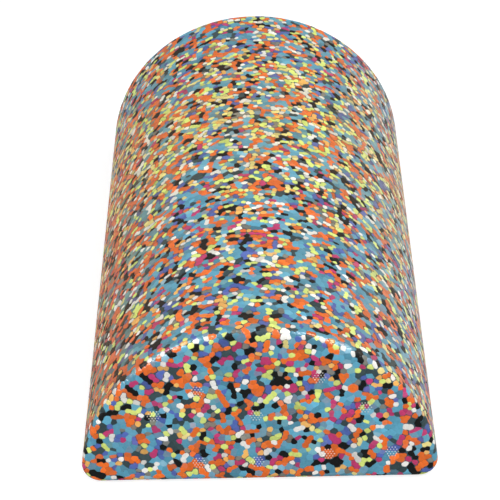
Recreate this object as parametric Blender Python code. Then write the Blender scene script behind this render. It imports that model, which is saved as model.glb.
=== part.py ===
"""Half foam roller: a half-round gym block, steam-moulded from coloured foam beads.

The block lies along Y and rests on its flat face at Z = 0, with the middle of that face at the origin.
It is one moulding. The pieces it is made of are foam beads that are welded where they touch, so the
solids are the moulded body and the plainest beads of its skin, each one seated in its own socket.
"""

import math

import bmesh
import bpy
from mathutils import Matrix, Vector

MM = 0.001

# The moulded block
BODY_LENGTH = 304.8 * MM
BODY_HEIGHT = 76.2 * MM
CROWN_RADIUS = 76.2 * MM
FOOT_RADIUS = 8.0 * MM
END_RADIUS = 3.5 * MM
CROWN_STEPS = 60
FOOT_STEPS = 5
END_STEPS = 3
LENGTH_STEPS = 6

# One foam bead at the skin, and the gap that stands for its weld line
BEAD_SIZE = 3.0 * MM
BEAD_DEPTH = 2.6 * MM
BEAD_EDGE = 0.3 * MM
BEAD_STEPS = 10
LOBES = 5
LOBE_SHARE = 0.06
TOP_SHARE = 0.84
BELLY_SHARE = 0.66
BELLY_DEPTH_SHARE = 0.8
CLEARANCE = 0.3 * MM
OVERRUN = 1.0 * MM

# The mark that a steam vent of the mould leaves: a shallow dish with a nub for every hole
NUB_RADIUS = 0.34 * MM
NUB_PITCH = 1.3 * MM
NUB_STEPS = 5
NUB_ROWS = 2
VENT_RIM = 0.76 * MM
VENT_DEPTH = 0.3 * MM
VENT_STEPS = 16

# Where the vents stood on an end face: up as a share of the height, and across as a share of half the
# width that the face has at that height
VENT_PLACE_SHARES = (
    (-0.423, 0.610),
    (0.462, 0.689),
    (-0.647, 0.453),
    (-0.015, 0.446),
    (0.668, 0.486),
    (-0.338, 0.131),
    (-0.013, 0.131),
    (0.387, 0.177),
    (0.748, 0.184),
)

# Beads of the near end face: name, colour, place across and up in the same terms as the vents, length
# and width as shares of the bead size, and the turn of the long side in degrees
FRONT_BEAD_SHARES = (
    ("black_bead_1", "black", -0.855, 0.705, 2.4, 0.93, -45.0),
    ("black_bead_2", "black", -0.890, 0.630, 2.5, 0.97, -45.0),
    ("black_bead_3", "black", -0.551, 0.774, 1.2, 1.1, 45.0),
    ("black_bead_4", "black", -0.893, 0.160, 1.5, 0.87, 0.0),
    ("black_bead_5", "black", 0.361, 0.440, 1.3, 1.2, 60.0),
    ("black_bead_6", "black", 0.140, 0.180, 1.4, 1.1, -30.0),
    ("white_bead_1", "white", -0.502, 0.520, 1.2, 1.15, 0.0),
    ("white_bead_2", "white", -0.360, 0.459, 1.0, 1.0, 0.0),
    ("white_bead_3", "white", 0.713, 0.357, 1.35, 0.75, 0.0),
    ("white_bead_4", "white", 0.680, 0.270, 1.8, 0.75, -38.0),
    ("white_bead_5", "white", 0.085, 0.262, 1.15, 0.95, 0.0),
    ("lime_bead_1", "lime", -0.880, 0.250, 1.75, 0.8, -55.0),
    ("lime_bead_2", "lime", 0.950, 0.490, 1.45, 0.7, 90.0),
    ("lime_bead_3", "lime", -0.199, 0.239, 1.15, 1.1, 0.0),
    ("magenta_bead_1", "magenta", 0.735, 0.432, 1.2, 1.1, 0.0),
    ("magenta_bead_2", "magenta", -0.790, 0.300, 1.2, 1.0, 70.0),
    ("violet_bead_1", "violet", -0.945, 0.545, 1.2, 0.95, 0.0),
    ("amber_bead_1", "amber", -0.588, 0.658, 1.0, 0.85, 60.0),
)

# Beads of the crown: place round the arc as a share of a quarter turn, place along as a share of half
# the length
CROWN_BEAD_SHARES = (
    ("black_bead_7", "black", 0.200, -0.265, 2.2, 0.9, 0.0),
    ("black_bead_8", "black", -0.209, -0.354, 1.3, 1.2, 0.0),
    ("black_bead_9", "black", 0.067, -0.472, 1.4, 1.1, 20.0),
    ("black_bead_10", "black", 0.450, 0.180, 1.4, 0.9, 15.0),
    ("white_bead_6", "white", 0.092, -0.308, 1.65, 1.0, 0.0),
    ("white_bead_7", "white", 0.213, -0.351, 1.3, 1.2, 0.0),
    ("white_bead_8", "white", -0.234, -0.567, 1.25, 1.15, 90.0),
    ("white_bead_9", "white", -0.420, 0.330, 1.5, 0.8, -20.0),
    ("lime_bead_4", "lime", 0.079, -0.580, 1.25, 1.15, 0.0),
    ("lime_bead_5", "lime", 0.334, -0.722, 2.1, 0.8, 80.0),
    ("lime_bead_6", "lime", -0.120, 0.520, 1.3, 1.0, 0.0),
    ("magenta_bead_3", "magenta", 0.134, -0.774, 1.1, 0.95, 0.0),
    ("magenta_bead_4", "magenta", 0.165, 0.060, 1.3, 1.0, 0.0),
    ("violet_bead_2", "violet", 0.317, -0.492, 1.6, 1.3, 40.0),
    ("violet_bead_3", "violet", -0.560, -0.150, 1.3, 0.9, 60.0),
    ("amber_bead_2", "amber", -0.015, -0.553, 1.2, 1.1, 0.0),
    ("orange_bead_1", "orange", -0.075, -0.880, 1.6, 1.1, 80.0),
    ("orange_bead_2", "orange", 0.620, -0.560, 1.7, 1.0, 30.0),
)

# Beads of the far end face, in the same terms as the near one
BACK_BEAD_SHARES = (
    ("black_bead_11", "black", -0.574, 0.220, 1.5, 1.0, 30.0),
    ("white_bead_10", "white", 0.234, 0.640, 1.3, 0.9, -20.0),
    ("lime_bead_7", "lime", -0.169, 0.300, 1.4, 0.9, 10.0),
    ("magenta_bead_5", "magenta", 0.503, 0.320, 1.2, 1.1, 0.0),
    ("violet_bead_4", "violet", -0.820, 0.420, 1.3, 1.0, 50.0),
    ("orange_bead_3", "orange", 0.150, 0.290, 1.6, 1.1, -40.0),
)

# Colours of the foam, as linear red, green and blue
COLOURS = {
    "teal": (0.072, 0.352, 0.539),
    "orange": (0.913, 0.141, 0.017),
    "lime": (0.694, 0.871, 0.156),
    "white": (0.913, 0.863, 0.791),
    "black": (0.006, 0.008, 0.009),
    "magenta": (0.578, 0.027, 0.195),
    "violet": (0.091, 0.116, 0.578),
    "amber": (0.956, 0.485, 0.102),
}
FOAM_ROUGHNESS = 0.55


def clear_scene():
    """Remove whatever the file opened with."""
    for item in list(bpy.data.objects):
        bpy.data.objects.remove(item, do_unlink=True)


def foam_material(colour):
    """Matt foam of one bead colour."""
    name = "foam_" + colour
    material = bpy.data.materials.get(name)
    if material is None:
        material = bpy.data.materials.new(name)
        material.use_nodes = True
        shader = material.node_tree.nodes["Principled BSDF"]
        shader.inputs["Base Color"].default_value = (*COLOURS[colour], 1.0)
        shader.inputs["Roughness"].default_value = FOAM_ROUGHNESS
        shader.inputs["Metallic"].default_value = 0.0
        material.diffuse_color = (*COLOURS[colour], 1.0)
    return material


def add_object(name, mesh, colour):
    """Put a mesh into the scene under a name, in one foam colour."""
    piece = bpy.data.objects.new(name, mesh)
    bpy.context.scene.collection.objects.link(piece)
    mesh.materials.append(foam_material(colour))
    return piece


def hide_cutter(cutter):
    """Mark a solid that only shapes the body, so that it is no piece of its own."""
    cutter.hide_render = True
    cutter.display_type = "WIRE"


def arc_points(centre_x, centre_z, radius, first, last, steps):
    """Points along an arc in the end view, from the first angle to the last."""
    points = []
    for step in range(steps + 1):
        angle = first + (last - first) * step / steps
        points.append((centre_x + radius * math.cos(angle), centre_z + radius * math.sin(angle)))
    return points


def end_outline(inset):
    """Half-round outline drawn in by an inset: flat foot, rounded feet and the crown arc."""
    centre_z = BODY_HEIGHT - CROWN_RADIUS
    foot = FOOT_RADIUS - inset
    crown = CROWN_RADIUS - inset
    drop = max(FOOT_RADIUS - centre_z, 0.0)
    foot_x = math.sqrt((CROWN_RADIUS - FOOT_RADIUS) ** 2 - drop ** 2)
    meeting = math.atan2(drop, foot_x)
    right_foot = arc_points(foot_x, FOOT_RADIUS, foot, -math.pi / 2, meeting, FOOT_STEPS)
    arc = arc_points(0.0, centre_z, crown, meeting, math.pi - meeting, CROWN_STEPS)
    left_foot = arc_points(-foot_x, FOOT_RADIUS, foot, math.pi - meeting, math.pi * 3 / 2, FOOT_STEPS)
    if centre_z > FOOT_RADIUS:
        return right_foot + arc + left_foot
    return right_foot + arc[1:-1] + left_foot


def section_places():
    """Inset and place along Y of every section, from the near end to the far end."""
    half = BODY_LENGTH / 2
    near_end = []
    for step in range(END_STEPS + 1):
        angle = math.pi / 2 * step / END_STEPS
        inset = END_RADIUS * (1.0 - math.sin(angle))
        setback = END_RADIUS * (1.0 - math.cos(angle))
        near_end.append((inset, -half + setback))
    straight = half - END_RADIUS
    middle = []
    for step in range(1, LENGTH_STEPS):
        middle.append((0.0, -straight + 2 * straight * step / LENGTH_STEPS))
    far_end = [(inset, -place) for inset, place in reversed(near_end)]
    return near_end + middle + far_end


def body_mesh():
    """The moulded block before its sockets and vent marks, lofted through its sections."""
    shape = bmesh.new()
    rings = []
    for inset, place in section_places():
        rings.append([shape.verts.new((x, place, z)) for x, z in end_outline(inset)])
    for near, far in zip(rings, rings[1:]):
        for index in range(len(near)):
            following = (index + 1) % len(near)
            shape.faces.new((near[index], near[following], far[following], far[index]))
    shape.faces.new(reversed(rings[0]))
    shape.faces.new(rings[-1])
    bmesh.ops.recalc_face_normals(shape, faces=shape.faces)
    mesh = bpy.data.meshes.new("foam_body")
    shape.to_mesh(mesh)
    shape.free()
    return mesh


def half_width(up):
    """Half the width of an end face at a height."""
    rise = max(up - (BODY_HEIGHT - CROWN_RADIUS), 0.0)
    return math.sqrt(CROWN_RADIUS ** 2 - rise ** 2)


def over_edge(across, up):
    """Point of an end face that runs on over its rounded edge: across, up and in from the end."""
    centre_z = BODY_HEIGHT - CROWN_RADIUS
    flat_radius = CROWN_RADIUS - END_RADIUS
    reach = math.hypot(across, up - centre_z)
    if reach <= flat_radius:
        return across, up, 0.0
    angle = (reach - flat_radius) / END_RADIUS
    scale = (flat_radius + END_RADIUS * math.sin(angle)) / reach
    setback = END_RADIUS * (1.0 - math.cos(angle))
    return across * scale, centre_z + (up - centre_z) * scale, setback


def front_point(across, up):
    """Point on the near end face and its rounded edge."""
    bent_across, bent_up, setback = over_edge(across, up)
    return Vector((bent_across, setback - BODY_LENGTH / 2, bent_up))


def back_point(across, up):
    """Point on the far end face and its rounded edge, seen from behind with right to the right."""
    bent_across, bent_up, setback = over_edge(across, up)
    return Vector((-bent_across, BODY_LENGTH / 2 - setback, bent_up))


def crown_point(arc, along):
    """Point on the crown: arc length from the top line and place along Y."""
    angle = arc / CROWN_RADIUS
    centre_z = BODY_HEIGHT - CROWN_RADIUS
    return Vector((CROWN_RADIUS * math.sin(angle), along, centre_z + CROWN_RADIUS * math.cos(angle)))


def ring_points(half_length, half_width, turn, depth):
    """One ring of a bead about its own middle: long side, short side and height."""
    points = []
    for step in range(BEAD_STEPS):
        angle = 2 * math.pi * step / BEAD_STEPS
        swell = 1.0 + LOBE_SHARE * math.cos(LOBES * angle)
        along_bead = half_length * swell * math.cos(angle)
        across_bead = half_width * swell * math.sin(angle)
        first = along_bead * math.cos(turn) - across_bead * math.sin(turn)
        second = along_bead * math.sin(turn) + across_bead * math.cos(turn)
        points.append((first, second, -depth))
    return points


def bead_rings(half_length, half_width, turn):
    """Rings of a bead from its flat moulded top to its belly."""
    belly_depth = BEAD_DEPTH * BELLY_DEPTH_SHARE
    return [
        ring_points(half_length * TOP_SHARE, half_width * TOP_SHARE, turn, 0.0),
        ring_points(half_length, half_width, turn, BEAD_EDGE),
        ring_points(half_length * BELLY_SHARE, half_width * BELLY_SHARE, turn, belly_depth),
    ]


def socket_rings(half_length, half_width, turn):
    """Rings of a bead's socket, one clearance outside the bead and open above the skin."""
    wide_length = half_length + CLEARANCE
    wide_width = half_width + CLEARANCE
    low_length = half_length * BELLY_SHARE + CLEARANCE
    low_width = half_width * BELLY_SHARE + CLEARANCE
    return [
        ring_points(wide_length, wide_width, turn, -OVERRUN),
        ring_points(wide_length, wide_width, turn, BEAD_EDGE),
        ring_points(low_length, low_width, turn, BEAD_DEPTH * BELLY_DEPTH_SHARE + CLEARANCE),
    ]


def add_closed_rings(shape, rings, pole, place):
    """Close stacked rings into one body, with the first ring capped flat and the last at a pole."""
    loops = [[shape.verts.new(place(*point)) for point in ring] for ring in rings]
    shape.faces.new(loops[0])
    for upper, lower in zip(loops, loops[1:]):
        for index in range(len(upper)):
            following = (index + 1) % len(upper)
            shape.faces.new((upper[index], lower[index], lower[following], upper[following]))
    bottom = shape.verts.new(place(*pole))
    for index in range(len(loops[-1])):
        following = (index + 1) % len(loops[-1])
        shape.faces.new((loops[-1][index], bottom, loops[-1][following]))


def surface_frame(point, first, second):
    """Placement at a point of a moulded surface: its two directions along the skin and its outside."""
    origin = point(first, second)
    side = (point(first + CLEARANCE, second) - origin).normalized()
    forward = point(first, second + CLEARANCE) - origin
    outside = side.cross(forward).normalized()
    turn = Matrix((side, outside.cross(side), outside)).transposed()
    return Matrix.Translation(origin) @ turn.to_4x4()


def sunk_place(point, first, second):
    """Function for a point of the skin near a middle, raised or sunk along the middle's own axis."""
    outside = surface_frame(point, first, second).col[2].to_3d()

    def place(along_first, along_second, height):
        return point(first + along_first, second + along_second) + outside * height

    return place


def bead_halves(length_share, width_share):
    """Half the length and half the width of a bead."""
    return BEAD_SIZE * length_share / 2, BEAD_SIZE * width_share / 2


def add_bead(name, colour, point, first, second, halves, turn):
    """One bead as its own solid, with its origin at the middle of its moulded face."""
    frame = surface_frame(point, first, second)
    shape = bmesh.new()
    place = sunk_place(point, first, second)
    add_closed_rings(shape, bead_rings(*halves, turn), (0.0, 0.0, -BEAD_DEPTH), place)
    bmesh.ops.transform(shape, matrix=frame.inverted(), verts=shape.verts)
    mesh = bpy.data.meshes.new(name)
    shape.to_mesh(mesh)
    shape.free()
    bead = add_object(name, mesh, colour)
    bead.matrix_world = frame
    return bead


def add_socket(shape, point, first, second, halves, turn):
    """One socket in the cutter that hollows the body for its beads."""
    place = sunk_place(point, first, second)
    add_closed_rings(shape, socket_rings(*halves, turn), (0.0, 0.0, -BEAD_DEPTH - CLEARANCE), place)


def end_place(across_share, up_share):
    """Place on an end face from its two shares."""
    up = up_share * BODY_HEIGHT
    return across_share * half_width(up), up


def crown_place(arc_share, along_share):
    """Place on the crown from its shares of a quarter turn and of half the length."""
    return arc_share * CROWN_RADIUS * math.pi / 2, along_share * BODY_LENGTH / 2


def bead_places():
    """Every bead with the surface it lies in and its place there, in metres."""
    places = []
    for point, place_on, table in (
        (front_point, end_place, FRONT_BEAD_SHARES),
        (crown_point, crown_place, CROWN_BEAD_SHARES),
        (back_point, end_place, BACK_BEAD_SHARES),
    ):
        for name, colour, first_share, second_share, length_share, width_share, degrees in table:
            first, second = place_on(first_share, second_share)
            halves = bead_halves(length_share, width_share)
            places.append((name, colour, point, first, second, halves, math.radians(degrees)))
    return places


def socket_cutter(places):
    """All sockets as one hidden cutter."""
    shape = bmesh.new()
    for _name, _colour, point, first, second, halves, turn in places:
        add_socket(shape, point, first, second, halves, turn)
    mesh = bpy.data.meshes.new("bead_sockets")
    shape.to_mesh(mesh)
    shape.free()
    cutter = add_object("bead_sockets", mesh, "teal")
    hide_cutter(cutter)
    return cutter


def add_prism(shape, point, first, second, radius, steps, low, high):
    """A small upright prism on a moulded surface, between two heights."""
    place = sunk_place(point, first, second)
    rings = []
    for height in (high, low):
        ring = []
        for step in range(steps):
            angle = 2 * math.pi * step / steps
            ring.append(shape.verts.new(place(radius * math.cos(angle), radius * math.sin(angle), height)))
        rings.append(ring)
    shape.faces.new(rings[0])
    shape.faces.new(reversed(rings[1]))
    for index in range(steps):
        following = (index + 1) % steps
        shape.faces.new((rings[0][index], rings[1][index], rings[1][following], rings[0][following]))


def nub_offsets():
    """Places of a vent's holes about its middle, on a triangular grid."""
    offsets = []
    for row in range(-NUB_ROWS, NUB_ROWS + 1):
        for column in range(-NUB_ROWS, NUB_ROWS + 1):
            if abs(row + column) <= NUB_ROWS:
                across = NUB_PITCH * (column + row / 2)
                up = NUB_PITCH * row * math.sqrt(3.0) / 2
                offsets.append((across, up))
    return offsets


def vent_places():
    """Surface and place of every vent mark on the two end faces."""
    places = []
    for point in (front_point, back_point):
        for across_share, up_share in VENT_PLACE_SHARES:
            places.append((point, *end_place(across_share, up_share)))
    return places


def dish_cutter():
    """The shallow dishes of all vent marks as one hidden cutter."""
    shape = bmesh.new()
    radius = NUB_ROWS * NUB_PITCH + NUB_RADIUS + VENT_RIM
    for point, across, up in vent_places():
        add_prism(shape, point, across, up, radius, VENT_STEPS, -VENT_DEPTH, OVERRUN)
    mesh = bpy.data.meshes.new("vent_dishes")
    shape.to_mesh(mesh)
    shape.free()
    cutter = add_object("vent_dishes", mesh, "teal")
    hide_cutter(cutter)
    return cutter


def nub_shape():
    """The nubs of all vent marks, level with the end face, rooted in the foam behind each dish."""
    shape = bmesh.new()
    for point, across, up in vent_places():
        for step_across, step_up in nub_offsets():
            root = -VENT_DEPTH - OVERRUN
            add_prism(shape, point, across + step_across, up + step_up, NUB_RADIUS, NUB_STEPS, root, 0.0)
    mesh = bpy.data.meshes.new("vent_nubs")
    shape.to_mesh(mesh)
    shape.free()
    nubs = add_object("vent_nubs", mesh, "teal")
    hide_cutter(nubs)
    return nubs


def add_boolean(body, other, operation):
    """One Boolean step of the body, with the exact solver."""
    step = body.modifiers.new(other.name, "BOOLEAN")
    step.operation = operation
    step.solver = "EXACT"
    step.object = other


def add_body(places):
    """The moulded body: sockets cut for its beads, dishes cut for its vents, nubs raised in the dishes."""
    body = add_object("foam_body", body_mesh(), "teal")
    add_boolean(body, socket_cutter(places), "DIFFERENCE")
    add_boolean(body, dish_cutter(), "DIFFERENCE")
    add_boolean(body, nub_shape(), "UNION")
    return body


def build_roller():
    """The whole part: the body and the beads in its skin."""
    clear_scene()
    places = bead_places()
    add_body(places)
    for place in places:
        add_bead(*place)


build_roller()
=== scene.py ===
# %% [markdown]
# # Half foam roller
#
# The object is a half-round gym block, 305 mm long. Loose beads of expanded foam in about ten
# colours are blown into a mould and steam welds them to each other, so its whole skin is a tight
# mosaic of beads 2 to 3 mm across. Nothing is printed or glued on: the pattern is the structure.
#
# The look could be painted on a smooth block with a cell texture. Here every bead is a small solid
# of its own instead, because each weld line then catches light and shadow from any side.

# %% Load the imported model
import math

import bmesh
import bpy
import numpy as np
from mathutils import Matrix, Vector
from mathutils.kdtree import KDTree


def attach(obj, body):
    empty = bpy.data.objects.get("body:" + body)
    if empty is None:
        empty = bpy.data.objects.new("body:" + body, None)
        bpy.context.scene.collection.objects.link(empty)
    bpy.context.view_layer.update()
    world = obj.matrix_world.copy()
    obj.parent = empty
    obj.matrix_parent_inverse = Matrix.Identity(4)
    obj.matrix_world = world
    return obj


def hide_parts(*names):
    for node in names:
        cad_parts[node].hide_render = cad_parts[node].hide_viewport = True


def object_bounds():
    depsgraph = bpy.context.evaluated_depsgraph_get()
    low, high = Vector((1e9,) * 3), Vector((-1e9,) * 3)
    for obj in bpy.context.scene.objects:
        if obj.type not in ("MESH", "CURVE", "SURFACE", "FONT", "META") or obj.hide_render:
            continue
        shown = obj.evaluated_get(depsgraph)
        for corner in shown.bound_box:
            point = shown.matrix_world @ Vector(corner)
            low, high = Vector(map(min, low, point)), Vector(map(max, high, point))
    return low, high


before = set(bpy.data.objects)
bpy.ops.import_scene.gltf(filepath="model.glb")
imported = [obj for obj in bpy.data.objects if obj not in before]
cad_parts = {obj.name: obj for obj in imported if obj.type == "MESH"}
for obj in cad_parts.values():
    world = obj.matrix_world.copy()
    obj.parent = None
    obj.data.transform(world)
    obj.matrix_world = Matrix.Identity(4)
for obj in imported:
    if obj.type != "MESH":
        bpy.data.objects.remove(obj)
cad_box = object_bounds()
MM = 0.001
chance = np.random.default_rng(20261)
print("CAD box in mm:", [round(side / MM, 1) for side in cad_box[1] - cad_box[0]])

# %% [markdown]
# ## Camera
#
# The photograph is a long-lens product shot from in front and 31 degrees above, tipped a little to
# one side. The camera is built from those angles: an aim point inside the block, a distance, and a
# roll about the line of sight. A tracking constraint could aim it too, but written out as a matrix
# the angle stays exact and nothing else in the scene depends on it.

# %% Camera at the photograph's angle
CAMERA_AIM = Vector((-3.25, 0.0, 23.0)) * MM
CAMERA_DISTANCE = 1055.6 * MM
CAMERA_AZIMUTH = -0.475
CAMERA_ELEVATION = 31.11
CAMERA_ROLL = -1.366
CAMERA_LENS = 158.35
CAMERA_CLIP_END = 20.0


def compass(azimuth, elevation):
    """Direction at a compass angle, 0 towards +Y, and an angle above the floor, in degrees."""
    level = math.cos(math.radians(elevation))
    return Vector((math.sin(math.radians(azimuth)) * level, math.cos(math.radians(azimuth)) * level,
                   math.sin(math.radians(elevation))))


def turned(first, second, degrees):
    """A direction turned from one towards another by an angle in degrees."""
    turn = math.radians(degrees)
    return first * math.cos(turn) + second * math.sin(turn)


def add_object(name, data):
    """A new object, linked to the scene."""
    thing = bpy.data.objects.new(name, data)
    bpy.context.scene.collection.objects.link(thing)
    return thing


def add_camera():
    """Camera that looks along +Y and down, rolled about its own axis."""
    forward = compass(CAMERA_AZIMUTH, -CAMERA_ELEVATION)
    azimuth = math.radians(CAMERA_AZIMUTH)
    side = Vector((math.cos(azimuth), -math.sin(azimuth), 0.0))
    above = side.cross(forward)
    right = turned(side, above, CAMERA_ROLL)
    up = turned(above, -side, CAMERA_ROLL)
    data = bpy.data.cameras.new("photo_camera")
    data.lens = CAMERA_LENS
    data.clip_end = CAMERA_CLIP_END
    camera = add_object("photo_camera", data)
    turn = Matrix((right, up, -forward)).transposed().to_4x4()
    camera.matrix_world = Matrix.Translation(CAMERA_AIM - forward * CAMERA_DISTANCE) @ turn
    bpy.context.scene.camera = camera
    return camera


camera = add_camera()
print("camera stands at", [round(value, 3) for value in camera.matrix_world.translation])

# %% [markdown]
# ## Studio
#
# The block stands on a white sweep between soft boxes, with a wide panel behind the camera that
# fills the end face. White paper could be lit until it burns out, but then the block would be
# overlit too. So the paper and the world only look white to the camera and to reflections, and the
# lamps stay at the level where a colour renders about as it is written.
#
# The photograph has two bright arcs on the rounded edge of the end face, left and right of the
# crown line, and no others. Strong lamps there would change the colours of the whole block. So
# lamps that light the colours are hidden from the gloss, and two that only the gloss sees make the
# arcs.

# %% Floor, world and lamps
FLOOR_HALF = 6.0
FLOOR_TONE = (0.38, 0.38, 0.38, 1.0)
FLOOR_GLOW = 0.78
WORLD_LIGHT = 0.22
BOX_DISTANCE = 1.1
# Azimuth and elevation in degrees, width and height in m, power in W, and if only gloss sees it.
SOFT_BOXES = {
    "left_box": (-107.0, 40.0, 0.7, 0.7, 3.5, False),
    "right_box": (96.0, 56.0, 0.9, 0.6, 3.4, False),
    "right_fill": (72.0, 15.0, 1.2, 0.8, 2.4, False),
    "back_panel": (0.0, 50.0, 1.8, 1.0, 3.1, False),
    "front_panel": (172.0, 20.0, 2.2, 1.6, 14.6, False),
    "left_glint": (-107.0, 43.0, 1.0, 0.5, 46.0, True),
    "right_glint": (98.0, 57.0, 0.85, 0.5, 41.0, True),
}


def node_tree(owner):
    """Nodes and links of a material or a world."""
    owner.use_nodes = True
    return owner.node_tree.nodes, owner.node_tree.links


def math_node(nodes, links, operation, first, second):
    """Output of one sum; each input is an output or a number."""
    node = nodes.new("ShaderNodeMath")
    node.operation = operation
    for socket, value in zip(node.inputs, (first, second)):
        if isinstance(value, (int, float)):
            socket.default_value = value
        else:
            links.new(value, socket)
    return node.outputs[0]


def seen_directly(nodes, links):
    """Output that is 1 for what the camera sees: straight on, by a reflection or through glass."""
    path = nodes.new("ShaderNodeLightPath").outputs
    seen = math_node(nodes, links, "MAXIMUM", path["Is Camera Ray"], path["Is Glossy Ray"])
    return math_node(nodes, links, "MAXIMUM", seen, path["Is Transmission Ray"])


def add_floor():
    """White paper under the block: matt, and brightened only where it is seen directly."""
    mesh = bpy.data.meshes.new("studio_floor")
    signs = ((-1, -1), (1, -1), (1, 1), (-1, 1))
    corners = [(x * FLOOR_HALF, y * FLOOR_HALF, 0.0) for x, y in signs]
    mesh.from_pydata(corners, [], [(0, 1, 2, 3)])
    floor = add_object("studio_floor", mesh)
    material = bpy.data.materials.new("white_paper")
    nodes, links = node_tree(material)
    nodes.clear()
    paper = nodes.new("ShaderNodeBsdfDiffuse")
    paper.inputs["Color"].default_value = FLOOR_TONE
    glow = nodes.new("ShaderNodeEmission")
    level = math_node(nodes, links, "MULTIPLY", seen_directly(nodes, links), FLOOR_GLOW)
    links.new(level, glow.inputs["Strength"])
    both = nodes.new("ShaderNodeAddShader")
    links.new(paper.outputs[0], both.inputs[0])
    links.new(glow.outputs[0], both.inputs[1])
    output = nodes.new("ShaderNodeOutputMaterial")
    links.new(both.outputs[0], output.inputs["Surface"])
    mesh.materials.append(material)
    return floor


def light_world():
    """Even grey light from all round, which the camera and the gloss see as white."""
    world = bpy.data.worlds.new("white_room")
    bpy.context.scene.world = world
    nodes, links = node_tree(world)
    nodes.clear()
    shown = nodes.new("ShaderNodeMapRange")
    shown.inputs["To Min"].default_value = WORLD_LIGHT
    shown.inputs["To Max"].default_value = 1.0
    links.new(seen_directly(nodes, links), shown.inputs["Value"])
    room = nodes.new("ShaderNodeBackground")
    links.new(shown.outputs["Result"], room.inputs["Strength"])
    output = nodes.new("ShaderNodeOutputWorld")
    links.new(room.outputs[0], output.inputs["Surface"])


def add_soft_box(name, azimuth, elevation, width, height, power, in_gloss):
    """A soft box at a compass angle (0 is behind the block), seen by colour or by gloss alone."""
    data = bpy.data.lights.new(name, "AREA")
    data.shape = "RECTANGLE"
    data.size = width
    data.size_y = height
    data.energy = power
    lamp = add_object(name, data)
    away = compass(azimuth, elevation)
    lamp.location = away * BOX_DISTANCE
    lamp.rotation_euler = away.to_track_quat("Z", "Y").to_euler()
    lamp.visible_diffuse = not in_gloss
    lamp.visible_glossy = in_gloss
    return lamp


add_floor()
light_world()
for name, row in SOFT_BOXES.items():
    add_soft_box(name, *row)
bpy.context.scene.view_settings.view_transform = "Standard"

# %% [markdown]
# ## Skin of the block
#
# Everything that follows lies on the moulded skin: a crown of one radius, rounded feet of 8 mm and
# an end edge of 3.5 mm. A mesh could be ray-cast for each point. A formula is exact and much
# faster: the skin is what a small ball touches as it rolls over a smaller block inside. The
# nearest point of that inner block gives the direction of the skin and the way out of it, for any
# number of points at once.

# %% Nearest point of the skin, for many points at once
HEIGHT = cad_box[1].z
HALF_LENGTH = (cad_box[1].y - cad_box[0].y) / 2
CROWN_RADIUS = 76.2 * MM
FOOT_RADIUS = 8.0 * MM
END_RADIUS = 3.5 * MM
CROWN_CENTRE = HEIGHT - CROWN_RADIUS
TINY = 1e-12


def unit(vectors):
    """Vectors of length 1."""
    length = np.linalg.norm(vectors, axis=-1, keepdims=True)
    return vectors / np.maximum(length, TINY)


def inner_point(points):
    """Nearest point of the inner block that a ball of the end radius rolls over."""
    flat_radius = CROWN_RADIUS - FOOT_RADIUS
    foot_x = math.sqrt(flat_radius ** 2 - (FOOT_RADIUS - CROWN_CENTRE) ** 2)
    across = points[..., 0]
    up = points[..., 2]
    reach = np.maximum(np.hypot(across, up - CROWN_CENTRE), TINY)
    shrink = np.minimum(1.0, flat_radius / reach)
    near_x = across * shrink
    near_z = CROWN_CENTRE + (up - CROWN_CENTRE) * shrink
    below = near_z < FOOT_RADIUS
    near_x = np.where(below, np.clip(across, -foot_x, foot_x), near_x)
    near_z = np.where(below, FOOT_RADIUS, near_z)
    off = np.stack([across - near_x, up - near_z], axis=-1)
    gone = np.maximum(np.linalg.norm(off, axis=-1), TINY)
    keep = np.minimum(gone, FOOT_RADIUS - END_RADIUS) / gone
    straight = HALF_LENGTH - END_RADIUS
    along = np.clip(points[..., 1], -straight, straight)
    return np.stack([near_x + off[..., 0] * keep, along, near_z + off[..., 1] * keep], axis=-1)


def on_skin(points, height=0.0):
    """Nearest points of the skin, or at a height outside it, and the way out there."""
    inner = inner_point(points)
    outside = unit(points - inner)
    return inner + outside * (END_RADIUS + np.asarray(height)[..., None]), outside


def walk(start, direction, distance):
    """Go a distance over the skin in a direction, in two steps, so that a bend is followed."""
    half = (distance / 2)[..., None]
    first, first_out = on_skin(start + direction * half)
    onward = unit(direction - first_out * (direction * first_out).sum(-1, keepdims=True))
    last, last_out = on_skin(first + onward * half)
    return last, last_out


top_line, _ = on_skin(np.array([[0.0, 0.0, HEIGHT + MM]]))
print("top line of the skin at", round(float(top_line[0, 2]) / MM, 3), "mm")

# %% [markdown]
# ## Bead colours
#
# Nearly half of the mix is teal and orange; lime, cream, black, dark green, magenta, violet,
# amber, yellow and a few drab beads share the rest. The mixture isn't even: the crown, and most of
# all its far part, came out warmer than the end face, and the left side holds more orange. So each
# colour has a share of the mix and three numbers for how that share grows or shrinks: off the end
# faces, where the mix is warm and on the left side. The same measures place painted light in the
# bead colours: a painted warm light cast where the mix is warm, painted shade that makes the left
# side browner and a painted sheen that makes the right side paler.

# %% The mix: share, its growth off the ends, in warm places and on the left, colour
MIX = {
    "teal": (0.230, 0.12, -0.42, -0.35, (0.104, 0.368, 0.525)),
    "orange": (0.222, -0.16, 0.30, 0.95, (0.880, 0.163, 0.017)),
    "lime": (0.088, 0.08, 0.20, -0.55, (0.790, 0.920, 0.235)),
    "white": (0.073, 0.05, 0.60, 0.15, (0.930, 0.915, 0.870)),
    "black": (0.084, 0.00, -0.20, 0.30, (0.005, 0.006, 0.006)),
    "slate": (0.070, -0.25, -0.50, 0.10, (0.046, 0.078, 0.086)),
    "magenta": (0.074, -0.30, -1.00, 0.00, (0.560, 0.036, 0.165)),
    "violet": (0.074, 0.08, -0.30, -0.25, (0.080, 0.142, 0.470)),
    "amber": (0.028, 0.00, 1.60, 0.60, (0.940, 0.500, 0.125)),
    "yellow": (0.014, 0.20, 4.80, 0.60, (0.940, 0.810, 0.300)),
    "drab": (0.030, 0.00, 0.60, 0.30, (0.220, 0.225, 0.195)),
}
COLOURS = list(MIX)
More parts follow.
